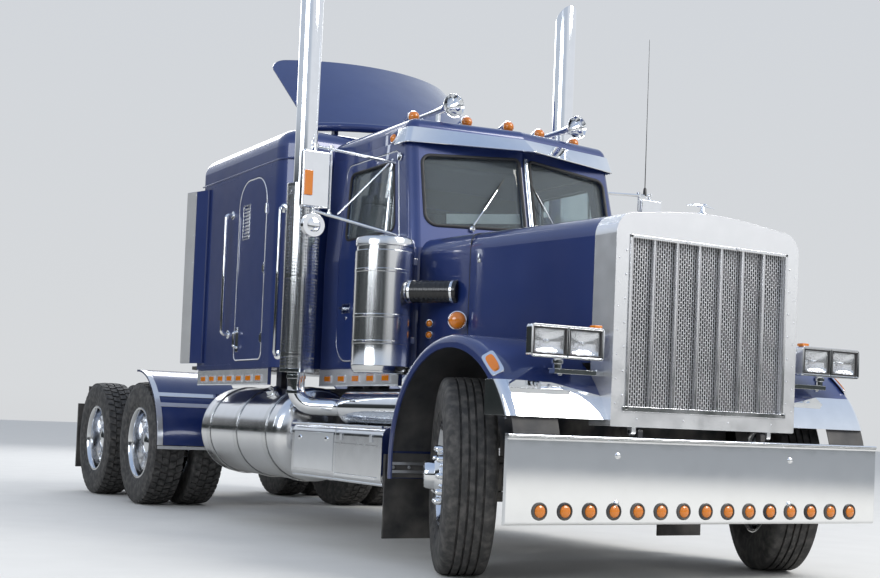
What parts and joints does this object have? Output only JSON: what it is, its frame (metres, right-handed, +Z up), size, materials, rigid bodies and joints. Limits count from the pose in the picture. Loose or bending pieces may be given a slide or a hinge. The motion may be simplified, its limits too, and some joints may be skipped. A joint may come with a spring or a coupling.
{
  "type": "semi truck tractor unit",
  "caption": "Long-nosed road tractor with a tilting hood, a split-windshield cab, a walk-through sleeper box, twin drive axles and a fifth wheel for a semi-trailer.",
  "frame": {"origin": "on the ground under the middle of the truck's length, on its centre plane", "axes": "-Y towards the front bumper, +X to the driver's left, +Z up"},
  "size_m": [2.76, 7.768, 3.9148],
  "materials": {
    "blue_paint": "deep blue gloss paint",
    "chrome": "bright chrome plate",
    "polished_aluminium": "polished",
    "brushed_panel": "satin panel",
    "chassis_steel": "dark chassis paint",
    "tyre": "black rubber, grooved tread",
    "black_rubber": "matt",
    "glass": "clear tinted",
    "lamp_lens": "clear fluted",
    "amber_lens": "amber",
    "interior_trim": "grained"
  },
  "bodies": {
    "chassis": {"chassis_frame": "chassis_steel", "front_axle": "chassis_steel", "rear_axles": "chassis_steel", "air_springs": "black_rubber", "driveline": "chassis_steel", "radiator": "chassis_steel", "front_bumper": "chrome", "marker_lamps": "amber_lens", "cowl": "blue_paint", "cab_body": "blue_paint", "cab_roof": "blue_paint", "windshield_glass": "glass", "sun_visor": "chrome", "roof_marker_lamps": "amber_lens", "air_horns": "chrome", "cab_interior": "interior_trim", "sleeper_body": "blue_paint", "sleeper_roof": "blue_paint", "air_deflector": "blue_paint", "side_extenders": "brushed_panel", "step_boxes": "polished_aluminium", "exhaust_stacks": "chrome", "stack_shields": "polished_aluminium", "air_cleaners": "polished_aluminium", "tanks": "polished_aluminium", "quarter_fenders": "blue_paint", "mud_flaps": "black_rubber", "fifth_wheel_base": "chassis_steel"},
    "hood": {"hood_shell": "blue_paint", "front_fenders": "blue_paint", "grille_shell": "polished_aluminium", "grille": "chrome", "headlamp_pods": "chrome", "headlamp_lenses": "lamp_lens", "fender_guards": "chrome"},
    "cab_door_left": {"cab_door_left": "blue_paint", "door_glass_left": "glass", "mirror_left": "chrome"},
    "cab_door_right": {"cab_door_right": "blue_paint", "door_glass_right": "glass", "mirror_right": "chrome"},
    "sleeper_door_left": {"sleeper_door_left": "blue_paint"},
    "sleeper_door_right": {"sleeper_door_right": "blue_paint"},
    "knuckle_left": {"knuckle_left": "chassis_steel"},
    "knuckle_right": {"knuckle_right": "chassis_steel"},
    "tie_rod": {"tie_rod": "chassis_steel"},
    "wheel_front_left": {"tyre_front_left": "tyre", "rim_front_left": "polished_aluminium"},
    "wheel_front_right": {"tyre_front_right": "tyre", "rim_front_right": "polished_aluminium"},
    "wheels_forward_left": {"tyres_forward_left": "tyre", "rims_forward_left": "polished_aluminium"},
    "wheels_forward_right": {"tyres_forward_right": "tyre", "rims_forward_right": "polished_aluminium"},
    "wheels_rearward_left": {"tyres_rearward_left": "tyre", "rims_rearward_left": "polished_aluminium"},
    "wheels_rearward_right": {"tyres_rearward_right": "tyre", "rims_rearward_right": "polished_aluminium"},
    "fifth_wheel": {"fifth_wheel_plate": "chassis_steel"}
  },
  "joints": [
    {"name": "hood_tilt", "type": "hinge", "parent": "chassis", "child": "hood", "pos_m": [0, -3.811, 0.78], "axis": [1, 0, 0], "range_deg": [0, 60]},
    {"name": "cab_door_left_swing", "type": "hinge", "parent": "chassis", "child": "cab_door_left", "pos_m": [0.802, -1.899, 1.8], "axis": [0, 0, -1], "range_deg": [0, 68]},
    {"name": "cab_door_right_swing", "type": "hinge", "parent": "chassis", "child": "cab_door_right", "pos_m": [-0.802, -1.899, 1.8], "axis": [0, 0, 1], "range_deg": [0, 68]},
    {"name": "sleeper_door_left_swing", "type": "hinge", "parent": "chassis", "child": "sleeper_door_left", "pos_m": [1.062, -0.389, 1.8], "axis": [0, 0, -1], "range_deg": [0, 85]},
    {"name": "sleeper_door_right_swing", "type": "hinge", "parent": "chassis", "child": "sleeper_door_right", "pos_m": [-1.062, -0.389, 1.8], "axis": [0, 0, 1], "range_deg": [0, 85]},
    {"name": "steer_right", "type": "hinge", "parent": "chassis", "child": "knuckle_right", "pos_m": [-0.84, -3.196, 0.515], "axis": [0, 0, -1], "range_deg": [-60, 10]},
    {"name": "steer_left", "type": "hinge", "parent": "chassis", "child": "knuckle_left", "pos_m": [0.84, -3.196, 0.515], "axis": [0, 0, -1], "range_deg": [-60, 10]},
    {"name": "tie_rod_pivot", "type": "hinge", "parent": "knuckle_right", "child": "tie_rod", "pos_m": [-0.75548, -3.01474, 0.385], "axis": [0, 0, -1], "range_deg": [-10, 60]},
    {"name": "spin_front_left", "type": "hinge", "parent": "knuckle_left", "child": "wheel_front_left", "pos_m": [1.0122, -3.2763, 0.515], "axis": [0.9063, -0.4226, 0], "continuous": true},
    {"name": "spin_front_right", "type": "hinge", "parent": "knuckle_right", "child": "wheel_front_right", "pos_m": [-1.0122, -3.1157, 0.515], "axis": [0.9063, -0.4226, 0], "continuous": true},
    {"name": "spin_forward_left", "type": "hinge", "parent": "chassis", "child": "wheels_forward_left", "pos_m": [0.8985, 1.932, 0.515], "axis": [1, 0, 0], "continuous": true},
    {"name": "spin_forward_right", "type": "hinge", "parent": "chassis", "child": "wheels_forward_right", "pos_m": [-0.8985, 1.932, 0.515], "axis": [1, 0, 0], "continuous": true},
    {"name": "spin_rearward_left", "type": "hinge", "parent": "chassis", "child": "wheels_rearward_left", "pos_m": [0.8985, 3.252, 0.515], "axis": [1, 0, 0], "continuous": true},
    {"name": "spin_rearward_right", "type": "hinge", "parent": "chassis", "child": "wheels_rearward_right", "pos_m": [-0.8985, 3.252, 0.515], "axis": [1, 0, 0], "continuous": true},
    {"name": "fifth_wheel_tilt", "type": "hinge", "parent": "chassis", "child": "fifth_wheel", "pos_m": [0, 2.442, 1.12], "axis": [1, 0, 0], "range_deg": [-12, 12]}
  ],
  "couplings": [
    {"joint": "steer_left", "follows": "steer_right", "ratio": 1},
    {"joint": "tie_rod_pivot", "follows": "steer_right", "ratio": -1}
  ]
}
